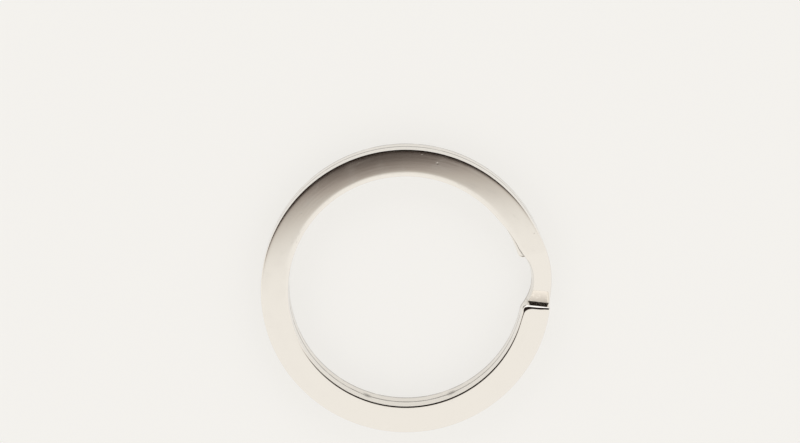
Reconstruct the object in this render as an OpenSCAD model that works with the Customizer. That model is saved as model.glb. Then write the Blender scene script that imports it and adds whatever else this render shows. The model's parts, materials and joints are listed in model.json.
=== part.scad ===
// Flat split ring: one steel strip, wound edgewise into two closely spaced turns.
//
// The strip steps down from the upper turn to the lower turn at a pressed crossover on the +X side.
// It is scalloped there to a narrow neck, and each turn ends just past the foot of the crossover.
// The ring lies flat: its axis is Z, and its lower face lies on Z = 0. Millimetres.

/* [Ring] */
// Outside diameter of the ring
outer_d = 32; // [24:0.5:45]
// Width of the strip, measured along the radius
strip_w = 3; // [2.4:0.1:4]
// Thickness of the strip, which is the height of one turn
strip_t = 1.85; // [1.2:0.05:2.4]
// Space between the two turns
coil_gap = 0.08; // [0.05:0.01:0.2]

/* [Edges] */
// Rounding of the strip's two inner edges
inner_edge_r = 0.2; // [0.1:0.05:0.4]
// Rounding of the strip's two outer edges
outer_edge_r = 0.15; // [0.1:0.05:0.4]

/* [Crossover] */
// Length of the ramp between the turns, along the middle of the strip
ramp_l = 6.2; // [4.5:0.1:8]
// Length of the bend at the foot and at the head of the ramp, which is straight between them
ramp_bend_l = 0.5; // [0.3:0.1:2]
// How far the scallop reaches into the inner side of the strip, halfway up its wall
scallop_depth = 1.07; // [0.9:0.01:1.4]
// Radius of the scallop
scallop_r = 5.2; // [4:0.1:6]
// Draft of the scallop's wall: how much further it reaches in at the upper face than at the lower one
scallop_draft = 0.2; // [0:0.02:0.3]
// How far the middle of the scallop lies up the ramp from the ramp's middle, along the inner edge
scallop_shift = 0.3; // [0:0.1:1.2]
// How far the shallow lead into the scallop would reach into the strip at the scallop's middle
lead_depth = 0.5; // [0.2:0.05:0.5]
// Length of the lead, from the scallop's middle to where it runs out into the upper turn's inner edge
lead_l = 7.3; // [5.5:0.1:9]
// Softening where the lead meets the scallop
lead_blend = 0.3; // [0.1:0.05:0.3]
// Softening where the scallop and its lead run out into the turns
run_out_blend = 0.1; // [0.05:0.05:0.2]
// How far the outer side of the crossover bulges past the round
bulge = 0.2; // [0:0.02:0.4]
// Length of the bulge, along the middle of the strip
bulge_l = 9.4; // [7:0.1:12]
// How far the middle of the bulge lies up the ramp from the ramp's middle, along the middle of the strip
bulge_shift = 1.7; // [0:0.1:2.5]

/* [Free ends] */
// Space left between each free end and the ramp, which it reaches until that much of the gap is left
end_gap = 0.025; // [0.01:0.005:0.045]
// Rounding of each free end's inner corner, seen from above
end_corner_r = 0.5; // [0.2:0.05:0.8]
// Rounding of each free end's outer corner, seen from above
end_outer_corner_r = 0.15; // [0.05:0.05:0.5]
// Rounding of each free end's upper and lower edges
end_edge_r = 0.12; // [0.05:0.01:0.3]

/* [Hidden] */
$fn = 180;

outer_r = outer_d / 2;
inner_r = outer_r - strip_w;
middle_r = outer_r - strip_w / 2;
turn_rise = strip_t + coil_gap;

// Angles round the axis, in degrees from +X, which passes through the middle of the ramp
degrees_per_mm = 180 / (PI * middle_r);
ramp_half = ramp_l / 2 * degrees_per_mm;
inner_degrees_per_mm = 180 / (PI * inner_r);
scallop_angle = scallop_shift * inner_degrees_per_mm;
lead_angle = lead_l * inner_degrees_per_mm;
bulge_angle = bulge_shift * degrees_per_mm;
bulge_half = bulge_l / 2 * degrees_per_mm;

// Height climbed after a run along the ramp, counted from its nearer end: first the bend, then the slope
ramp_slope = turn_rise / (ramp_l - ramp_bend_l);
bend_rise = ramp_slope * ramp_bend_l / 2;
function climb(run) =
    run < ramp_bend_l ? bend_rise * pow(run / ramp_bend_l, 2) : bend_rise + ramp_slope * (run - ramp_bend_l);

// Height of the strip's underside at an angle
function ramp_run(a) = min(ramp_l, max(0, (a + ramp_half) / degrees_per_mm));
function underside(a) =
    ramp_run(a) < ramp_l / 2 ? climb(ramp_run(a)) : turn_rise - climb(ramp_l - ramp_run(a));

// Each turn laps over the end of the ramp by the run that uses up the gap, apart from the space left there
end_climb = coil_gap - end_gap;
end_lap = end_climb < bend_rise
    ? ramp_bend_l * sqrt(end_climb / bend_rise)
    : ramp_bend_l + (end_climb - bend_rise) / ramp_slope;
end_angle = ramp_half - end_lap * degrees_per_mm;

// Shapes that are cut away reach this far past the strip
waste_margin = 1;

// The larger of two values, rounded off where they cross
function soft_max(a, b, blend) = max(a, b) + pow(max(blend - abs(a - b), 0), 2) / (4 * blend);

// Inner radius at an angle, on the strip's lower face where side is 0 and on its upper face where it is 1.
// The scallop is a circle that bites into the inner wall. Up the ramp, a shallow lead runs out of it.
function scallop_centre(side) = inner_r + scallop_depth + scallop_draft * (side - 0.5) - scallop_r;
function scallop_edge(a, side) =
    let (across = scallop_centre(side) * sin(a - scallop_angle))
    scallop_centre(side) * cos(a - scallop_angle) + sqrt(max(0, pow(scallop_r, 2) - pow(across, 2)));
function lead_edge(a) = inner_r + lead_depth * (1 - pow((a - scallop_angle) / lead_angle, 2));
function bitten_edge(a, side) =
    a < scallop_angle ? scallop_edge(a, side) : soft_max(scallop_edge(a, side), lead_edge(a), lead_blend);
function inner_edge(a, side) = soft_max(inner_r, bitten_edge(a, side), run_out_blend);

// Outer radius at an angle: the bulge swells up and dies away on either side of its middle
function outer_edge(a) =
    let (share = min(1, abs(a - bulge_angle) / bulge_half))
    outer_r + bulge * (1 + cos(180 * share)) / 2;

// Angle from the scallop's middle to where its upper edge has run out, and the same for the lead
function scallop_run_out() =
    let (wall_r = inner_r - run_out_blend, centre = scallop_centre(1))
    acos((pow(centre, 2) + pow(wall_r, 2) - pow(scallop_r, 2)) / (2 * centre * wall_r));
function lead_run_out() = lead_angle * sqrt(1 + run_out_blend / lead_depth);

// The crossover is a swept stretch of the strip, as long as its ramp, scallop, lead and bulge, and a margin.
// Its stations lie closer together than the margin is long, so its shape starts and ends inside the margins.
join_margin = 0.2;
station_gap = 0.17;
low_angle = min(-ramp_half, bulge_angle - bulge_half, scallop_angle - scallop_run_out())
    - join_margin * degrees_per_mm;
high_angle = max(ramp_half, bulge_angle + bulge_half, scallop_angle + lead_run_out())
    + join_margin * degrees_per_mm;
sweep_steps = ceil((high_angle - low_angle) / (station_gap * degrees_per_mm));
corner_steps = 4;

// A tongue at each end of the crossover is let into the turn, drawn in by a step too small to see
tongue_l = 0.4;
tongue_step = 0.01;

// A quarter circle of the strip's section, as points in the plane of radius and height
function section_corner(x, z, r, from) = [
    for (i = [0:corner_steps])
        let (turned = from + 90 * i / corner_steps)
            [x + r * cos(turned), z + r * sin(turned)]
];

// The strip's section at an angle, drawn in by a small step all round
function section_at(a, step) =
    let (
        left_low = inner_edge(a, 0) + step,
        left_high = inner_edge(a, 1) + step,
        right = outer_edge(a) - step,
        low = underside(a) + step,
        high = underside(a) + strip_t - step,
        ri = inner_edge_r,
        ro = outer_edge_r
    )
    concat(
        section_corner(right - ro, high - ro, ro, 0),
        section_corner(left_high + ri, high - ri, ri, 90),
        section_corner(left_low + ri, low + ri, ri, 180),
        section_corner(right - ro, low + ro, ro, 270)
    );

// The swept crossover. Each station is an angle and the step by which the section is drawn in there.
module crossover() {
    tongue = tongue_l * degrees_per_mm;
    stride = (high_angle - low_angle) / sweep_steps;
    lip = stride / 4;
    stations = concat(
        [[low_angle - tongue, tongue_step], [low_angle + lip, tongue_step]],
        [for (i = [1:sweep_steps - 1]) [low_angle + i * stride, 0]],
        [[high_angle - lip, tongue_step], [high_angle + tongue, tongue_step]]
    );
    sides = 4 * (corner_steps + 1);
    last = len(stations) - 1;
    points = [
        for (s = stations)
            for (p = section_at(s[0], s[1]))
                [p[0] * cos(s[0]), p[0] * sin(s[0]), p[1]]
    ];
    skin = [
        for (i = [0:last - 1])
            for (j = [0:sides - 1])
                let (k = (j + 1) % sides)
                    each [
                        [i * sides + j, (i + 1) * sides + k, (i + 1) * sides + j],
                        [i * sides + j, i * sides + k, (i + 1) * sides + k]
                    ]
    ];
    caps = [
        [for (j = [sides - 1:-1:0]) j],
        [for (j = [0:sides - 1]) last * sides + j]
    ];
    polyhedron(points = points, faces = concat(skin, caps), convexity = 6);
}

// The strip's section in the turns: a rectangle with rounded corners
module strip_section() {
    translate([inner_r + inner_edge_r, 0])
        square([strip_w - inner_edge_r - outer_edge_r, strip_t]);
    translate([inner_r, inner_edge_r])
        square([inner_edge_r, strip_t - 2 * inner_edge_r]);
    translate([outer_r - outer_edge_r, outer_edge_r])
        square([outer_edge_r, strip_t - 2 * outer_edge_r]);
    for (z = [inner_edge_r, strip_t - inner_edge_r])
        translate([inner_r + inner_edge_r, z])
            circle(inner_edge_r);
    for (z = [outer_edge_r, strip_t - outer_edge_r])
        translate([outer_r - outer_edge_r, z])
            circle(outer_edge_r);
}

// What rounding off one corner of a free end takes away. The end face lies on y = 0 with the strip on -Y,
// wall_r is the radius of the ring's wall at that corner, and side is 1 for the inner wall, -1 for the outer.
module corner_waste(wall_r, r, side) {
    centre_x = sqrt(pow(wall_r + side * r, 2) - r * r);
    touch_y = -r * wall_r / (wall_r + side * r);
    beyond_x = wall_r - side * waste_margin;
    translate([0, 0, -waste_margin])
        linear_extrude(strip_t + 2 * waste_margin)
            difference() {
                translate([min(centre_x, beyond_x), touch_y])
                    square([abs(centre_x - beyond_x), waste_margin - touch_y]);
                translate([centre_x, -r])
                    circle(r);
            }
}

// What rounding off a free end's upper and lower edges takes away
module end_edge_waste() {
    r = end_edge_r;
    for (side = [0, 1])
        translate([inner_r - waste_margin, 0, side * strip_t])
            mirror([0, 0, side])
                rotate([90, 0, 90])
                    linear_extrude(strip_w + 2 * waste_margin)
                        difference() {
                            translate([-r, -waste_margin])
                                square([r + waste_margin, r + waste_margin]);
                            translate([-r, r])
                                circle(r);
                        }
}

// One turn, from the angle where it joins the crossover round to its free end.
// It is drawn counter-clockwise from the join, and its free end is squared off and rounded.
module turn(join, free_end) {
    difference() {
        rotate([0, 0, join])
            rotate_extrude(angle = free_end - join)
                strip_section();
        rotate([0, 0, free_end]) {
            corner_waste(inner_r, end_corner_r, 1);
            corner_waste(outer_r, end_outer_corner_r, -1);
            end_edge_waste();
        }
    }
}

// The upper turn's free end lies on the foot of the ramp
module upper_turn() {
    translate([0, 0, turn_rise])
        turn(high_angle, 360 - end_angle);
}

// The lower turn is its mirror image, and its free end lies under the head of the ramp
module lower_turn() {
    mirror([0, 1, 0])
        turn(-low_angle, 360 - end_angle);
}

module split_ring() {
    color("silver")
        union() {
            upper_turn();
            crossover();
            lower_turn();
        }
}

split_ring();
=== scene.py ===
"""The looks of the split ring: one polished strip, lying on a pale floor and seen from above.

The ring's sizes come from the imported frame. The shapes of the crossover and of the free ends follow the
same formulas as the construction, in metres. The strip is one swept mesh, finer than the CAD one.
"""

import json
import math

import bpy
from mathutils import Matrix, Vector


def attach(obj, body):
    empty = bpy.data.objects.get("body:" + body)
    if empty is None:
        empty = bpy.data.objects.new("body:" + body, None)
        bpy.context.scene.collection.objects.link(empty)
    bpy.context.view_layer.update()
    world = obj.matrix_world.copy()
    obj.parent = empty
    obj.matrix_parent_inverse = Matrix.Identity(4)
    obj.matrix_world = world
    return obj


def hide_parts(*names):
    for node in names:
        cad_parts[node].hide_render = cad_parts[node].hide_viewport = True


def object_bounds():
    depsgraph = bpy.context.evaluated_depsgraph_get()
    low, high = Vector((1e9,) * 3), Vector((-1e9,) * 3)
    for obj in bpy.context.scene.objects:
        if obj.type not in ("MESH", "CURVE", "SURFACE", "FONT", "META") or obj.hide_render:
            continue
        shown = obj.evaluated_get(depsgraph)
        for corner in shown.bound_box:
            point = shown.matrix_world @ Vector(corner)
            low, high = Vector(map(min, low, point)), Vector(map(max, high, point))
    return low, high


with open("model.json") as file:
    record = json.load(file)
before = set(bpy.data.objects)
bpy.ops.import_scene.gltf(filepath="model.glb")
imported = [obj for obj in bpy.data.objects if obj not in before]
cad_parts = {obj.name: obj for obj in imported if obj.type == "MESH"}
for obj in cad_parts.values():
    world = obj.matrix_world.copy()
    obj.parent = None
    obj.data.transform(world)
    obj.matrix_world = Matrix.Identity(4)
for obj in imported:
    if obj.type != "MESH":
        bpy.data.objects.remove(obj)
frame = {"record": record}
cad_low, cad_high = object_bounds()

MM = 0.001
BORE = next(mount for mount in frame["record"]["mounts"] if mount["name"] == "ring_bore")

# ---------------------------------------------------------------- sizes, from the frame
# The frame's box is a mesh's, so its sizes are rounded to 0.01 mm
FRAME_DIGITS = 5
INNER_R = BORE["dims"]["r_mm"] * MM
OUTER_R = round(-cad_low.x, FRAME_DIGITS)
HEIGHT = round(cad_high.z, FRAME_DIGITS)
STRIP_W = OUTER_R - INNER_R
MIDDLE_R = OUTER_R - STRIP_W / 2
COIL_GAP = 0.08 * MM
STRIP_T = (HEIGHT - COIL_GAP) / 2
TURN_RISE = STRIP_T + COIL_GAP

# ---------------------------------------------------------------- sizes of the crossover and free ends
# The ramp between the turns, and the bend at either end of it
RAMP_L = 6.2 * MM
RAMP_BEND_L = 0.5 * MM
# The scallop is an arc that bites into the inner edge. It reaches further out at the top than at the bottom,
# by its draft, and its middle lies a little up the ramp. Past its reach the inner edge is plain.
SCALLOP_DEPTH = 1.07 * MM
SCALLOP_R = 5.2 * MM
SCALLOP_DRAFT = 0.2 * MM
SCALLOP_SHIFT = 0.3 * MM
SCALLOP_REACH = math.radians(60)
# The shallow lead runs out of the scallop into the upper turn's inner edge
LEAD_DEPTH = 0.5 * MM
LEAD_L = 7.3 * MM
LEAD_BLEND = 0.3 * MM
RUN_OUT_BLEND = 0.1 * MM
# The bulge on the outer edge, and how far up the ramp its middle lies
BULGE = 0.2 * MM
BULGE_L = 9.4 * MM
BULGE_SHIFT = 1.7 * MM
# The free ends, and the space between each one and the ramp's bend under or over it
END_GAP = 0.025 * MM
END_CORNER_R = 0.5 * MM
END_OUTER_CORNER_R = 0.15 * MM

# ---------------------------------------------------------------- the strip's section
# Each edge rolls over gently from the face, with a radius and up to a turn, and then round its tight tip to
# the wall. The roll and the tip have this many steps.
INNER_ROLL = (0.5 * MM, math.radians(20))
OUTER_ROLL = (0.3 * MM, math.radians(20))
TIP_R = 0.02 * MM
ROLL_STEPS = 8
TIP_STEPS = 3
# Over the last stretch the inner edge's roll grows into a broad one round a free end's inner corner, and it
# gets narrow again across the end. The two meet in a rounded corner.
CORNER_ROLL = (0.95 * MM, math.radians(35))
CORNER_ROLL_L = 2.4 * MM
CORNER_BLEND = 0.8 * MM
END_ROLL = (0.33 * MM, math.radians(40))
# On the strip's underside the inner edge's and the ends' rolls are this share as deep
UNDERSIDE_SHARE = 0.4
# The face falls away in a shoulder near each wall, and is very slightly crowned between them. The crown's
# highest line lies this far in from the inner wall.
INNER_SHOULDER_W = 0.4 * MM
OUTER_SHOULDER_W = 0.2 * MM
SHOULDER_SLOPE = math.radians(1.4)
SHOULDER_BLEND = 0.1 * MM
FACE_CROWN_R = 541 * MM
FACE_CROWN_MIDDLE = 1.7 * MM
# How far each wall stands proud between its edges
WALL_CROWN = 0.006 * MM
# Steps across each face and each wall, between the edges
FACE_STEPS = 16
WALL_STEPS = 8

# ---------------------------------------------------------------- stations along the strip
# Angles from one station to the next, on the turns and in the crossover, and where the crossover's lie
TURN_STEP = math.radians(1.2)
CROSSOVER_STEP = math.radians(0.3)
CROSSOVER_REACH = (math.radians(-19), math.radians(38))
# Steps round a free end's corner
END_ARC_STEPS = 6
# Stations at a free end that agree to this many digits of a metre are one
STATION_DIGITS = 8
# Each free end's flat cap is drawn in by this from its rim
CAP_INSET = 0.03 * MM

# ---------------------------------------------------------------- painted shade, and darker round spots
# The painted shade's height up the walls beside the slot between the turns, and the angle over which it sets
# in by the ramp
SLOT_SHADE_H = 0.2 * MM
SLOT_SHADE_FADE = math.radians(3)
# How far the painted shade spreads over the step on the lower turn that the lead lays bare
STEP_SHADE_W = 0.25 * MM
# Darker round spots by the slot: the angle of each one's middle and half its spread, and their height
DARK_SPOT_PLACES = [(math.radians(246), math.radians(2.8)), (math.radians(288.5), math.radians(3.2))]
DARK_SPOT_H = 0.8 * MM
# How far the painted shade reaches into the notch between a free end and the ramp, from the end's face
NOTCH_SHADE_L = 0.15 * MM
# The height of the painted contact shadow up the walls where the ring lies
CONTACT_SHADE_H = 0.5 * MM

# ---------------------------------------------------------------- places along the strip
# Angles round the axis, from +X, which passes through the middle of the ramp. They go on along the strip, up
# the upper turn to its free end, and down the lower turn to the other one, at minus the same angle.
RAMP_HALF = RAMP_L / 2 / MIDDLE_R
SCALLOP_ANGLE = SCALLOP_SHIFT / INNER_R
LEAD_ANGLE = LEAD_L / INNER_R
BULGE_ANGLE = BULGE_SHIFT / MIDDLE_R
BULGE_HALF = BULGE_L / 2 / MIDDLE_R

# The ramp is an even slope with a bend at either end, and each turn laps over its end
RAMP_SLOPE = TURN_RISE / (RAMP_L - RAMP_BEND_L)
BEND_RISE = RAMP_SLOPE * RAMP_BEND_L / 2
END_LAP = RAMP_BEND_L * math.sqrt((COIL_GAP - END_GAP) / BEND_RISE)
END_ANGLE = RAMP_HALF - END_LAP / MIDDLE_R
STRIP_END = 2 * math.pi - END_ANGLE


# ---------------------------------------------------------------- formulas
def clamp(value):
    return min(1.0, max(0.0, value))


def soft_max(a, b, blend):
    """The larger of two values, rounded off where they cross."""
    return max(a, b) + max(blend - abs(a - b), 0) ** 2 / (4 * blend)


def soft_min(a, b, blend):
    """The smaller of two values, rounded off where they cross."""
    return -soft_max(-a, -b, blend)


def round_off(distance, radius):
    """How far a rounded corner lies inside its square one, at a distance from the end."""
    if distance >= radius:
        return 0.0
    return radius - math.sqrt(radius**2 - (radius - distance) ** 2)


def blended(roll, other, share):
    """A roll between two rolls."""
    return [a + (b - a) * share for a, b in zip(roll, other)]


def spaced(start, stop, steps):
    """Values from start up to stop, without the last."""
    return [start + (stop - start) * i / steps for i in range(steps)]


def between(start, stop, steps):
    """Points between two corners, closer together near both, without the corners themselves."""
    shares = [0.5 - 0.5 * math.cos(math.pi * i / steps) for i in range(1, steps)]
    return [(start[0] + (stop[0] - start[0]) * t, start[1] + (stop[1] - start[1]) * t) for t in shares]


# ---------------------------------------------------------------- the crossover
def climb(run):
    """Height climbed after a run along the ramp, from its nearer end: first the bend, then the slope."""
    if run < RAMP_BEND_L:
        return BEND_RISE * (run / RAMP_BEND_L) ** 2
    return BEND_RISE + RAMP_SLOPE * (run - RAMP_BEND_L)


def underside(angle):
    """Height of the strip's underside."""
    run = clamp((angle + RAMP_HALF) / (2 * RAMP_HALF)) * RAMP_L
    return climb(run) if run < RAMP_L / 2 else TURN_RISE - climb(RAMP_L - run)


def inner_edge(angle, side):
    """Inner radius, on the strip's lower face where side is 0 and on its upper face where it is 1."""
    across = angle - SCALLOP_ANGLE
    if abs(across) > SCALLOP_REACH:
        return INNER_R
    centre = INNER_R + SCALLOP_DEPTH + SCALLOP_DRAFT * (side - 0.5) - SCALLOP_R
    half_chord = SCALLOP_R**2 - (centre * math.sin(across)) ** 2
    bitten = centre * math.cos(across) + math.sqrt(max(0.0, half_chord))
    if across > 0:
        lead = INNER_R + LEAD_DEPTH * (1 - (across / LEAD_ANGLE) ** 2)
        bitten = soft_max(bitten, lead, LEAD_BLEND)
    return soft_max(INNER_R, bitten, RUN_OUT_BLEND)


def outer_edge(angle):
    """Outer radius: the bulge swells up and dies away on either side of its middle."""
    share = min(1.0, abs(angle - BULGE_ANGLE) / BULGE_HALF)
    return OUTER_R + BULGE * (1 + math.cos(math.pi * share)) / 2


# ---------------------------------------------------------------- the section
def edge_drop(distance, roll):
    """How far a rolled edge lies below the face, at a distance from the wall."""
    radius, turn = roll
    tip_w = TIP_R * (1 - math.sin(turn))
    width = tip_w + radius * math.sin(turn)
    if distance >= width:
        return 0.0
    if distance > tip_w:
        return radius * (1 - math.cos(math.asin((width - distance) / radius)))
    tip = TIP_R * (1 - math.cos(math.asin(1 - distance / TIP_R)))
    return (radius - TIP_R) * (1 - math.cos(turn)) + tip


def edge_points(roll):
    """Distances from the wall at which a rolled edge has its points, from the face to the wall."""
    radius, turn = roll
    tip_w = TIP_R * (1 - math.sin(turn))
    turned = [turn * i / ROLL_STEPS for i in range(ROLL_STEPS + 1)]
    rolled = [tip_w + radius * (math.sin(turn) - math.sin(angle)) for angle in turned]
    quarter = math.pi / 2 - turn
    tip = [TIP_R * (1 - math.sin(turn + quarter * i / TIP_STEPS)) for i in range(1, TIP_STEPS + 1)]
    return rolled + tip


def inner_roll(distance):
    """The inner edge's roll, at a distance from the nearer free end."""
    return blended(INNER_ROLL, CORNER_ROLL, (1 - clamp(distance / CORNER_ROLL_L)) ** 2)


def rolled_drop(distance, depth, width):
    """How far the roll round the inner edge and the free end lowers the face, at a distance from that end
    and a depth into the strip from its inner wall."""
    roll = blended(inner_roll(distance), END_ROLL, clamp(depth / width) if distance < CORNER_ROLL_L else 0)
    inside = soft_min(distance, depth + round_off(distance, END_CORNER_R), CORNER_BLEND)
    return edge_drop(max(inside, 0.0), roll)


def face_drop(depth, width):
    """How far the face lies below its highest line, at a depth into the strip from the inner wall."""
    slope = math.tan(SHOULDER_SLOPE)
    inner = slope * soft_max(INNER_SHOULDER_W - depth, 0.0, SHOULDER_BLEND)
    outer = slope * soft_max(OUTER_SHOULDER_W - (width - depth), 0.0, SHOULDER_BLEND)
    return inner + outer + (depth - FACE_CROWN_MIDDLE) ** 2 / (2 * FACE_CROWN_R)


def flat_section(left_low, left_high, right, low, high, distance):
    """Points of radius and height round the strip, counter-clockwise from the outer wall's top, at a
    distance from the nearer free end. Its faces are still flat and its inner edges square."""
    inner = edge_points(inner_roll(distance))
    outer = [(inwards, edge_drop(inwards, OUTER_ROLL)) for inwards in edge_points(OUTER_ROLL)]
    corners = [
        [(right - inwards, high - down) for inwards, down in reversed(outer)],
        [(left_high + inwards, high) for inwards in inner],
        [(left_low + inwards, low) for inwards in reversed(inner)],
        [(right - inwards, low + down) for inwards, down in outer],
    ]
    loop = []
    for index, corner in enumerate(corners):
        steps = FACE_STEPS if index % 2 == 0 else WALL_STEPS
        following = corners[(index + 1) % len(corners)]
        loop += corner + between(corner[-1], following[0], steps)
    return loop


def section(left_low, left_high, right, low, high, distance):
    """The flat section with its inner edges and free end rolled off, and its faces and walls crowned."""
    middle = (low + high) / 2
    half = (high - low) / 2
    shaped = []
    for radius, height in flat_section(left_low, left_high, right, low, high, distance):
        up = (height - middle) / half
        left = left_low + (left_high - left_low) * (up + 1) / 2
        depth = radius - left
        width = right - left
        rolled = rolled_drop(distance, depth, width) * (1 if up > 0 else UNDERSIDE_SHARE)
        drop = face_drop(depth, width) + rolled
        crown = WALL_CROWN * up**2 * (1 - 2 * clamp(depth / width))
        shaped.append((radius + crown, height - drop * up))
    return shaped


# ---------------------------------------------------------------- the strip
def station_angles():
    """Angles along the strip, from the upper free end down to the lower one. They are close together in the
    crossover and near the free ends, and closest in the ends' corners."""
    low, high = CROSSOVER_REACH
    corners = [radius * (1 - math.sin(math.pi / 2 * i / END_ARC_STEPS))
               for radius in (END_CORNER_R, END_OUTER_CORNER_R) for i in range(END_ARC_STEPS + 1)]
    near = sorted({round(distance, STATION_DIGITS) for distance in corners + edge_points(CORNER_ROLL)})
    near_angles = [distance / MIDDLE_R for distance in near]
    fine_start = STRIP_END - near_angles[-1] - CROSSOVER_STEP
    plain_start = STRIP_END - CORNER_ROLL_L / MIDDLE_R
    fine_steps = round((fine_start - plain_start) / CROSSOVER_STEP)
    angles = [STRIP_END - angle for angle in near_angles]
    angles += spaced(fine_start, plain_start, fine_steps)
    angles += spaced(plain_start, high, round((plain_start - high) / TURN_STEP))
    angles += spaced(high, low, round((high - low) / CROSSOVER_STEP))
    angles += spaced(low, -plain_start, round((plain_start + low) / TURN_STEP))
    angles += spaced(-plain_start, -fine_start, fine_steps)
    return angles + [-fine_start] + [angle - STRIP_END for angle in reversed(near_angles)]


def station(angle, inset):
    """The strip's section in space at an angle, drawn in by an inset all round."""
    distance = (STRIP_END - abs(angle)) * MIDDLE_R
    inwards = round_off(distance, END_CORNER_R) + inset
    left_low = inner_edge(angle, 0) + inwards
    left_high = inner_edge(angle, 1) + inwards
    right = outer_edge(angle) - round_off(distance, END_OUTER_CORNER_R) - inset
    low = underside(angle) + inset
    high = underside(angle) + STRIP_T - inset
    ring = section(left_low, left_high, right, low, high, distance)
    return [(radius * math.cos(angle), radius * math.sin(angle), height) for radius, height in ring]


def dark_spots(angle, radius, off_slot):
    """How much of the darker round spots is at a place. They are on the inner wall only."""
    if radius > MIDDLE_R:
        return 0.0
    spread = min(abs(angle % (2 * math.pi) - middle) / half for middle, half in DARK_SPOT_PLACES)
    return clamp(1 - spread**2 - (off_slot / DARK_SPOT_H) ** 2)


def slot_shade(angle, radius, off_slot):
    """How much painted shade is on the walls by the slot, up or down from it, and on the step that the lead
    lays bare, with the darker round spots.
    """
    fade = clamp((abs(angle) - RAMP_HALF) / SLOT_SHADE_FADE)
    by_slot = max(dark_spots(angle, radius, off_slot), 1 - clamp(off_slot / SLOT_SHADE_H)) * fade
    if angle > 0:
        return by_slot
    upper_turn_edge = inner_edge(angle + 2 * math.pi, 0)
    return by_slot * clamp((radius - upper_turn_edge + STEP_SHADE_W) / SLOT_SHADE_H)


def notch_shade(angle, off_slot):
    """How much painted shade is in the notch between a free end and the ramp."""
    off_end = abs(abs(angle) - END_ANGLE) * MIDDLE_R
    return clamp(1 - abs(off_slot) / STRIP_T) * clamp(1 - off_end / NOTCH_SHADE_L)


def painted_shade_and_spots_at(angle, point):
    """How much painted shade is at a point, from 0 to 1: by the slot between the turns, in the notches, and
    as a contact shadow along the line on which the ring lies. The darker round spots count in too."""
    radius = math.hypot(point[0], point[1])
    height = point[2] - underside(angle)
    off_slot = height if angle > 0 else STRIP_T - height
    # On the lower turn, a painted contact shadow up the walls from where the ring lies
    rest = 0.0 if angle > 0 else 1 - clamp(height / CONTACT_SHADE_H)
    return max(slot_shade(angle, radius, off_slot), notch_shade(angle, off_slot), rest)


def skin_faces(rows, sides):
    """Faces of a closed skin over rows of points: quads between the rows, and a cap at either end."""
    faces = []
    for row in range(rows - 1):
        for side in range(sides):
            here = row * sides + side
            beside = row * sides + (side + 1) % sides
            faces.append((here, beside, beside + sides, here + sides))
    faces.append(tuple(reversed(range(sides))))
    faces.append(tuple(range((rows - 1) * sides, rows * sides)))
    return faces


def keep_values(mesh, name, values):
    """Keep a value for each of a mesh's points, under a name that the material reads."""
    mesh.attributes.new(name, "FLOAT", "POINT").data.foreach_set("value", values)


def strip_mesh():
    """The whole strip as one closed skin, with a flat cap set in at each free end."""
    angles = station_angles()
    angles = [angles[0]] + angles + [angles[-1]]
    insets = [CAP_INSET] + [0] * (len(angles) - 2) + [CAP_INSET]
    rings = [station(angle, inset) for angle, inset in zip(angles, insets)]
    sides = len(rings[0])
    mesh = bpy.data.meshes.new("split_ring_strip")
    mesh.from_pydata([point for ring in rings for point in ring], [], skin_faces(len(rings), sides))
    keep_values(mesh, "along", [angle * MIDDLE_R / MM for angle in angles for side in range(sides)])
    # Painted shade and darker spots, for the material to darken
    keep_values(mesh, "painted_shade_and_spots", [painted_shade_and_spots_at(angle, point)
                                  for angle, ring in zip(angles, rings) for point in ring])
    mesh.validate()
    mesh.shade_smooth()
    return mesh


# ---------------------------------------------------------------- shader nodes
def node_tree(owner):
    owner.use_nodes = True
    owner.node_tree.nodes.clear()
    return owner.node_tree


def add(tree, kind, inputs=None, **settings):
    """A shader node with its settings made and its inputs set or linked."""
    node = tree.nodes.new(kind)
    for name, value in settings.items():
        setattr(node, name, value)
    for name, value in (inputs or {}).items():
        if isinstance(value, bpy.types.NodeSocket):
            tree.links.new(value, node.inputs[name])
        else:
            node.inputs[name].default_value = value
    return node


def calc(tree, operation, *values):
    """A math node's result."""
    return add(tree, "ShaderNodeMath", dict(enumerate(values)), operation=operation).outputs[0]


def vector_calc(tree, operation, inputs, result="Vector"):
    """A vector math node's result."""
    return add(tree, "ShaderNodeVectorMath", inputs, operation=operation).outputs[result]


def mask(tree, value, start, full):
    """0 up to a first value and 1 from a second, or the other way round, softly."""
    node = add(tree, "ShaderNodeMapRange", {"Value": value, "From Min": start, "From Max": full},
               interpolation_type="SMOOTHSTEP")
    return node.outputs[0]


def attribute(tree, name):
    """One of the values that the mesh keeps for its points."""
    return add(tree, "ShaderNodeAttribute", attribute_name=name).outputs["Fac"]


def object_place(tree):
    """The place on the object, in metres."""
    return add(tree, "ShaderNodeTexCoord").outputs["Object"]


def strip_coordinates(tree, along_scale, across_scale):
    """Coordinates that run along the strip, and across it by radius and height, in scaled millimetres."""
    axes = add(tree, "ShaderNodeSeparateXYZ", {"Vector": object_place(tree)})
    squares = [calc(tree, "MULTIPLY", axes.outputs[name], axes.outputs[name]) for name in "XY"]
    radius = calc(tree, "SQRT", calc(tree, "ADD", *squares))
    place = add(tree, "ShaderNodeCombineXYZ", {
        "X": calc(tree, "MULTIPLY", attribute(tree, "along"), along_scale),
        "Y": calc(tree, "MULTIPLY", radius, across_scale / MM),
        "Z": calc(tree, "MULTIPLY", axes.outputs["Z"], across_scale / MM),
    })
    return place.outputs[0]


def noise(tree, along_scale, across_scale, detail):
    """A noise on the strip, between 0 and 1 and mostly near NOISE_MIDDLE."""
    place = strip_coordinates(tree, along_scale, across_scale)
    return add(tree, "ShaderNodeTexNoise", {"Vector": place, "Scale": 1.0, "Detail": detail}).outputs["Fac"]


# ---------------------------------------------------------------- bright nickel
NICKEL_COLOUR = (0.83, 0.79, 0.73, 1)
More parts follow.
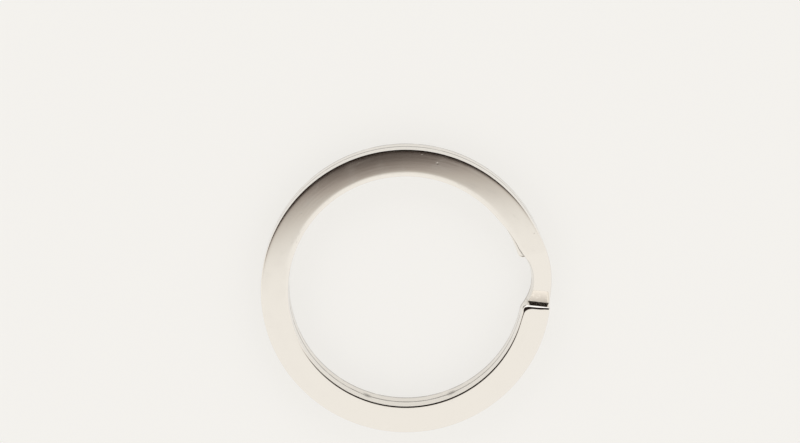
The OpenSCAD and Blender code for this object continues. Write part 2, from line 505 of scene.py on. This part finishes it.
# Dark colour painted where shade falls, and on the darker spots
PAINTED_SHADE_COLOUR = (0.16, 0.14, 0.12, 1)
# How much of the nickel's colour the painted shade hides
PAINTED_SHADE_COVER = 0.8
# How rough the mirror is where it is clean, and what smudges, hairlines and the painted shade add to that
ROUGHNESS = 0.06
SMUDGE_ROUGHNESS = 0.015
HAIRLINE_ROUGHNESS = 0.06
PAINTED_SHADE_ROUGHNESS = 0.25
# Depths of the drawing lines, of the waviness, of the pits and of one knock on the face, in metres
LINE_DEPTH = 1.5e-7
WAVE_DEPTH = 0.6e-6
PIT_DEPTH = 4e-6
KNOCK_DEPTH = 0.8e-6
KNOCK_PLACE = (4.57 * MM, 14.14 * MM, HEIGHT)
KNOCK_R = 0.16 * MM
# How fast each noise runs along the strip and across it, per millimetre, and how much detail it has
LINE_NOISE = (0.12, 5.0, 3.0)
WAVE_NOISE = (0.3, 0.45, 1.0)
SMUDGE_NOISE = (0.35, 0.5, 4.0)
HAIRLINE_NOISE = (0.5, 1.3, 2.0)
PATCH_NOISE = (0.6, 1.6, 3.0)
# The noise at which there is no smudge and at which it is full, and the same for the patches that break up
# the painted shade and the spots
SMUDGE_RANGE = (0.45, 0.7)
PATCH_RANGE = (0.25, 0.5)
# A hairline runs where its noise is within this of the middle
NOISE_MIDDLE = 0.5
HAIRLINE_W = 0.012
# Pits are sown one to a cell: cells per millimetre, and a pit's radius in cells
PIT_CELLS = 0.5
PIT_R = 0.05


def smudge_mask(tree):
    return mask(tree, noise(tree, *SMUDGE_NOISE), *SMUDGE_RANGE)


def hairline_mask(tree, smudges):
    """Hairlines, which show in the smudges."""
    off_middle = calc(tree, "ABSOLUTE", calc(tree, "SUBTRACT", noise(tree, *HAIRLINE_NOISE), NOISE_MIDDLE))
    return calc(tree, "MULTIPLY", mask(tree, off_middle, HAIRLINE_W, 0.0), smudges)


def painted_shade_and_spots_mask(tree):
    """The painted shade and the darker spots, broken into patches."""
    patches = mask(tree, noise(tree, *PATCH_NOISE), *PATCH_RANGE)
    return calc(tree, "MULTIPLY", attribute(tree, "painted_shade_and_spots"), patches)


def pit_mask(tree):
    place = strip_coordinates(tree, PIT_CELLS, PIT_CELLS)
    cells = add(tree, "ShaderNodeTexVoronoi", {"Vector": place, "Scale": 1.0})
    return mask(tree, cells.outputs["Distance"], PIT_R, 0.0)


def knock_mask(tree):
    away = vector_calc(tree, "DISTANCE", {0: object_place(tree), 1: KNOCK_PLACE}, "Value")
    return mask(tree, away, KNOCK_R, 0.0)


def relief(tree):
    """The bump of the drawing lines, the waviness, the pits and the knock."""
    height = calc(tree, "MULTIPLY", noise(tree, *LINE_NOISE), LINE_DEPTH)
    waves = noise(tree, *WAVE_NOISE)
    pits = pit_mask(tree)
    knock = knock_mask(tree)
    for shape, depth in ((waves, WAVE_DEPTH), (pits, -PIT_DEPTH), (knock, -KNOCK_DEPTH)):
        height = calc(tree, "MULTIPLY_ADD", shape, depth, height)
    return add(tree, "ShaderNodeBump", {"Strength": 1.0, "Distance": 1.0, "Height": height}).outputs[0]


def nickel():
    """Bright nickel: a warm mirror, very slightly wavy, with faint drawing lines, smudges, hairlines and
    pits, and with dark colour painted as shade by the slot, in the notches and along the floor, and darker
    spots."""
    material = bpy.data.materials.new("bright_nickel")
    tree = node_tree(material)
    smudges = smudge_mask(tree)
    hairlines = hairline_mask(tree, smudges)
    # Dark colour painted as shade by the slot, in the notches and along the floor, and on the darker spots
    painted_shade_and_spots = painted_shade_and_spots_mask(tree)
    cover = calc(tree, "MULTIPLY", painted_shade_and_spots, PAINTED_SHADE_COVER)
    colour = add(tree, "ShaderNodeMix", {0: cover, 6: NICKEL_COLOUR, 7: PAINTED_SHADE_COLOUR}, data_type="RGBA")
    rough = calc(tree, "MULTIPLY_ADD", smudges, SMUDGE_ROUGHNESS, ROUGHNESS)
    for shape, more in ((hairlines, HAIRLINE_ROUGHNESS), (painted_shade_and_spots, PAINTED_SHADE_ROUGHNESS)):
        rough = calc(tree, "MULTIPLY_ADD", shape, more, rough)
    shader = add(tree, "ShaderNodeBsdfPrincipled", {
        "Base Color": colour.outputs[2],
        "Metallic": 1.0,
        "Roughness": rough,
        "Normal": relief(tree),
    })
    add(tree, "ShaderNodeOutputMaterial", {"Surface": shader.outputs[0]})
    return material


# ---------------------------------------------------------------- floor
# The floor's colour, which is the background's too
BACKGROUND = (0.905, 0.888, 0.855, 1)
# How far the floor reaches each way, in metres
FLOOR_REACH = 10
# The floor's brightness is partly its own. The rest comes from the sky, which lights a white floor this much
# by itself, and the floor's own colour makes up for what that lacks.
FLOOR_OWN_LIGHT = 0.75
SKY_ON_FLOOR = 0.82
OWN_COLOUR_GAIN = (1 - (1 - FLOOR_OWN_LIGHT) * SKY_ON_FLOOR) / FLOOR_OWN_LIGHT


def camera_or_gloss(tree):
    """1 for rays from the camera and rays mirrored or let through by the object, 0 for the rest."""
    rays = add(tree, "ShaderNodeLightPath")
    seen = calc(tree, "MAXIMUM", rays.outputs["Is Camera Ray"], rays.outputs["Is Glossy Ray"])
    return calc(tree, "MAXIMUM", seen, rays.outputs["Is Transmission Ray"])


def floor_material():
    """A pale floor, most of whose brightness is its own, so that the object's shadow on it stays light."""
    material = bpy.data.materials.new("pale_floor")
    tree = node_tree(material)
    lit = add(tree, "ShaderNodeBsdfDiffuse", {"Color": BACKGROUND})
    own_colour = [min(1.0, channel * OWN_COLOUR_GAIN) for channel in BACKGROUND]
    own = add(tree, "ShaderNodeEmission", {"Color": own_colour})
    share = calc(tree, "MULTIPLY", camera_or_gloss(tree), FLOOR_OWN_LIGHT)
    shader = add(tree, "ShaderNodeMixShader", {0: share, 1: lit.outputs[0], 2: own.outputs[0]})
    add(tree, "ShaderNodeOutputMaterial", {"Surface": shader.outputs[0]})
    return material


def add_object(name, mesh, material):
    piece = bpy.data.objects.new(name, mesh)
    piece.data.materials.append(material)
    bpy.context.scene.collection.objects.link(piece)
    return piece


def add_floor():
    reach = FLOOR_REACH
    mesh = bpy.data.meshes.new("floor")
    mesh.from_pydata([(-reach, -reach, 0), (reach, -reach, 0), (reach, reach, 0), (-reach, reach, 0)],
                     [], [(0, 1, 2, 3)])
    add_object("floor", mesh, floor_material())


# ---------------------------------------------------------------- camera
CAMERA_DISTANCE = 308.9 * MM
CAMERA_TILT = math.radians(13.014)
CAMERA_AZIMUTH = math.radians(85.5)
# Focal length and sensor width, in millimetres as Blender has them, and the nearest place seen, in metres
CAMERA_LENS = 124.6
SENSOR_W = 36
CLIP_START = 0.01
# The camera aims past the ring's middle, this far to the right in the picture and up it
AIM_RIGHT = -0.656 * MM
AIM_UP = 7.2 * MM


def add_camera():
    """The camera leans off the ring's axis towards the top of the picture."""
    towards = Vector((math.cos(CAMERA_AZIMUTH), math.sin(CAMERA_AZIMUTH), 0))
    across = Vector((towards.y, -towards.x, 0))
    place = CAMERA_DISTANCE * (math.sin(CAMERA_TILT) * towards + math.cos(CAMERA_TILT) * Vector((0, 0, 1)))
    back = (place - AIM_RIGHT * across - AIM_UP * towards).normalized()
    right = towards.cross(back).normalized()
    up = back.cross(right)
    data = bpy.data.cameras.new("camera")
    data.lens = CAMERA_LENS
    data.sensor_width = SENSOR_W
    data.clip_start = CLIP_START
    camera = bpy.data.objects.new("camera", data)
    camera.matrix_world = Matrix.Translation(place) @ Matrix((right, up, back)).transposed().to_4x4()
    bpy.context.scene.collection.objects.link(camera)
    bpy.context.scene.camera = camera


# ---------------------------------------------------------------- sky
# Brightness of the sky at heights from the horizon, 0, to overhead, 1
SKY_STEPS = [(0.0, 0.50), (0.2, 0.63), (0.4, 0.80), (0.52, 1.03), (0.65, 1.09), (0.8, 1.04), (1.0, 1.03)]
# The studio light is a little warm
SKY_TINT = (1.045, 1.035, 1.015)
# A round lamp adds to the sky: its way, as right, up the picture and overhead, the angles from that way
# inside which it is full and outside which it is gone, and its colour
LAMP_WAY = Vector((0, 0.8, 0.6))
LAMP_REACH = (math.radians(14), math.radians(26))
LAMP_COLOUR = (0.33, 0.36, 0.42)
# The dark card over the ring, as an ellipse on a level plane one unit up: right, up the picture
CARD_CENTRE = (-0.10, 0.294)
CARD_HALF = (0.51, 0.50)
# Brightness at shares of the card's reach: dark on the card, and up over its soft edge to the sky's own
CARD_STEPS = [(0.80, 0.012), (0.965, 0.03), (0.977, 0.10), (0.984, 0.21), (0.990, 0.37), (0.997, 0.50),
              (1.006, 0.60), (1.018, 0.74), (1.030, 0.92), (1.045, 1.0)]
# How much redder and how much less blue the darkest of them are
CARD_WARMTH = (0.34, 0.13)
NO_WARMTH = (0.0, 0.0)
# The least rise that a ray counts with, so that a level one passes far outside the card
LOWEST_RISE = 0.001


def levels(tree, place, steps, warmth):
    """A soft run of brightnesses over a place, from the first step to the last, the dark ones warmer."""
    first = steps[0][0]
    last = steps[-1][0]
    share = add(tree, "ShaderNodeMapRange", {"Value": place, "From Min": first, "From Max": last}).outputs[0]
    node = add(tree, "ShaderNodeValToRGB", {"Fac": share})
    ramp = node.color_ramp
    ramp.interpolation = "B_SPLINE"
    # A new colour comes in halfway, and all are moved to their own places after that
    while len(ramp.elements) < len(steps):
        ramp.elements.new(0.5)
    redder, less_blue = warmth
    for element, (step, level) in zip(ramp.elements, steps):
        red = level * (1 + redder * (1 - level) ** 2)
        blue = level * (1 - less_blue * (1 - level))
        element.position = (step - first) / (last - first)
        element.color = (red, level, blue, 1)
    return node.outputs["Color"]


def card_reach(tree, axes):
    """How far out of the card's centre a ray of the sky is: 1 on its rim."""
    rise = calc(tree, "MAXIMUM", axes.outputs["Z"], LOWEST_RISE)
    offsets = []
    for name, centre, half in zip("XY", CARD_CENTRE, CARD_HALF):
        level = calc(tree, "DIVIDE", axes.outputs[name], rise)
        offset = calc(tree, "DIVIDE", calc(tree, "SUBTRACT", level, centre), half)
        offsets.append(calc(tree, "MULTIPLY", offset, offset))
    return calc(tree, "SQRT", calc(tree, "ADD", *offsets))


def lamp_light(tree, ray):
    """What the lamp adds to the sky."""
    towards = vector_calc(tree, "DOT_PRODUCT", {0: ray, 1: LAMP_WAY}, "Value")
    share = mask(tree, towards, *(math.cos(reach) for reach in reversed(LAMP_REACH)))
    return vector_calc(tree, "SCALE", {0: LAMP_COLOUR, 3: share})


def add_world():
    """A pale studio with a dark card overhead, which the flat face mirrors."""
    world = bpy.data.worlds.new("studio")
    bpy.context.scene.world = world
    tree = node_tree(world)
    ray = add(tree, "ShaderNodeTexCoord").outputs["Generated"]
    turned = add(tree, "ShaderNodeVectorRotate", {"Vector": ray, "Angle": math.pi / 2 - CAMERA_AZIMUTH},
                 rotation_type="Z_AXIS").outputs[0]
    axes = add(tree, "ShaderNodeSeparateXYZ", {"Vector": turned})
    sky = levels(tree, axes.outputs["Z"], SKY_STEPS, NO_WARMTH)
    tinted = vector_calc(tree, "MULTIPLY", {0: sky, 1: SKY_TINT})
    lit = vector_calc(tree, "ADD", {0: tinted, 1: lamp_light(tree, turned)})
    card = levels(tree, card_reach(tree, axes), CARD_STEPS, CARD_WARMTH)
    light = add(tree, "ShaderNodeBackground", {"Color": vector_calc(tree, "MULTIPLY", {0: lit, 1: card})})
    seen = add(tree, "ShaderNodeBackground", {"Color": BACKGROUND})
    rays = add(tree, "ShaderNodeLightPath")
    shader = add(tree, "ShaderNodeMixShader",
                 {0: rays.outputs["Is Camera Ray"], 1: light.outputs[0], 2: seen.outputs[0]})
    add(tree, "ShaderNodeOutputWorld", {"Surface": shader.outputs[0]})


# ---------------------------------------------------------------- the scene
add_camera()
add_floor()
add_world()
strip = add_object("split_ring_strip", strip_mesh(), nickel())
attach(strip, "root")
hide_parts("split_ring")
bpy.context.scene.view_settings.view_transform = "Standard"
